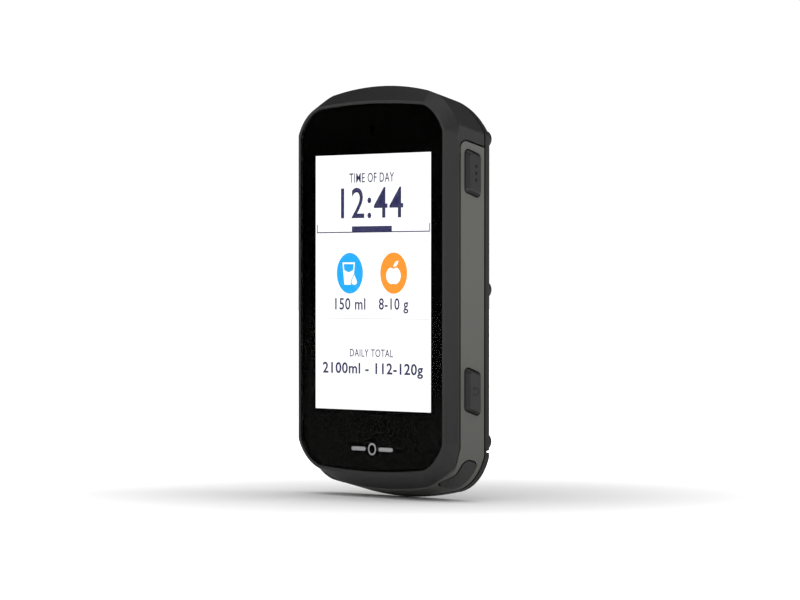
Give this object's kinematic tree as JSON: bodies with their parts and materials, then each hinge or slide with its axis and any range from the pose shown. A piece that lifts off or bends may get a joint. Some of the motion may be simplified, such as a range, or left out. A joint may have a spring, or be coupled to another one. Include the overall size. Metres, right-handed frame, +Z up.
{
  "type": "cycling computer",
  "caption": "Handlebar cycling computer: upright faceted case with full-face glass, portrait display, pressable side and corner buttons, port cap and quarter-turn mount.",
  "frame": {"origin": "centre of the quarter-turn mount's end face, on the back", "axes": "+Z up the long axis, -Y out of the glass towards the reader, +Y out of the mount, +X to the reader's right"},
  "size_m": [0.0562, 0.0166, 0.0904],
  "materials": {
    "glass": "polished, anti-glare coated",
    "mask": "black print",
    "sensor": "smoked clear",
    "display": "lit display",
    "housing": "fine moulded texture",
    "trim": "fine moulded texture, olive grey",
    "button": "satin moulded",
    "cover": "fine moulded texture",
    "rubber": "soft, matt",
    "mount_metal": "black anodised",
    "screw": "turned",
    "gold": "gold plated",
    "board": "solder mask",
    "steel": "tinned sheet",
    "chassis_metal": "die cast",
    "plastic_inner": "moulded",
    "light_guide": "milky",
    "flex": "amber film",
    "cell": "foil pouch",
    "foam": "closed-cell foam",
    "ceramic": "glazed ceramic"
  },
  "bodies": {
    "case": {"cover_glass": "glass", "border_mask": "mask", "glass_adhesive": "foam", "sensor_window": "sensor", "light_sensor": "plastic_inner", "display_panel": "display", "backlight": "light_guide", "display_tray": "steel", "display_flex": "flex", "front_housing": "housing", "side_trim": "trim", "rear_gasket": "rubber", "rear_cover": "cover", "quarter_turn_mount": "mount_metal", "button_seals": "rubber", "button_switches": "plastic_inner", "switch_boards": "flex", "chassis": "chassis_metal", "main_board": "board", "shield_cans": "steel", "board_connectors": "plastic_inner", "gnss_antenna": "ceramic", "radio_antenna": "ceramic", "buzzer": "plastic_inner", "barometer": "steel", "vent_membrane": "foam", "battery": "cell", "battery_pad": "foam", "battery_lead": "flex", "usb_socket": "steel", "usb_tongue": "plastic_inner", "usb_board": "board", "power_contacts": "gold", "mount_screws": "screw", "rear_screws": "screw", "chassis_screws": "screw", "board_screws": "screw"},
    "port_flap": {"port_flap": "rubber"},
    "enter_button": {"enter_button": "button"},
    "back_button": {"back_button": "button"},
    "power_button": {"power_button": "button"},
    "up_button": {"up_button": "button"},
    "down_button": {"down_button": "button"},
    "start_button": {"start_button": "button"},
    "lap_button": {"lap_button": "button"}
  },
  "joints": [
    {"name": "enter_press", "type": "slide", "parent": "case", "child": "enter_button", "axis": [-1, 0, 0], "range_m": [0, 0.0004], "stiffness_N_per_m": 3000},
    {"name": "back_press", "type": "slide", "parent": "case", "child": "back_button", "axis": [-1, 0, 0], "range_m": [0, 0.0004], "stiffness_N_per_m": 3000},
    {"name": "power_press", "type": "slide", "parent": "case", "child": "power_button", "axis": [1, 0, 0], "range_m": [0, 0.0004], "stiffness_N_per_m": 3000},
    {"name": "up_press", "type": "slide", "parent": "case", "child": "up_button", "axis": [1, 0, 0], "range_m": [0, 0.0004], "stiffness_N_per_m": 3000},
    {"name": "down_press", "type": "slide", "parent": "case", "child": "down_button", "axis": [1, 0, 0], "range_m": [0, 0.0004], "stiffness_N_per_m": 3000},
    {"name": "start_press", "type": "slide", "parent": "case", "child": "start_button", "axis": [-0.6223, 0, 0.7828], "range_m": [0, 0.00035], "stiffness_N_per_m": 3000},
    {"name": "lap_press", "type": "slide", "parent": "case", "child": "lap_button", "axis": [0.6223, 0, 0.7828], "range_m": [0, 0.00035], "stiffness_N_per_m": 3000},
    {"name": "flap_hinge", "type": "hinge", "parent": "case", "child": "port_flap", "pos_m": [0, -0.00577, -0.03475], "axis": [1, 0, 0], "range_deg": [0, 95]}
  ]
}
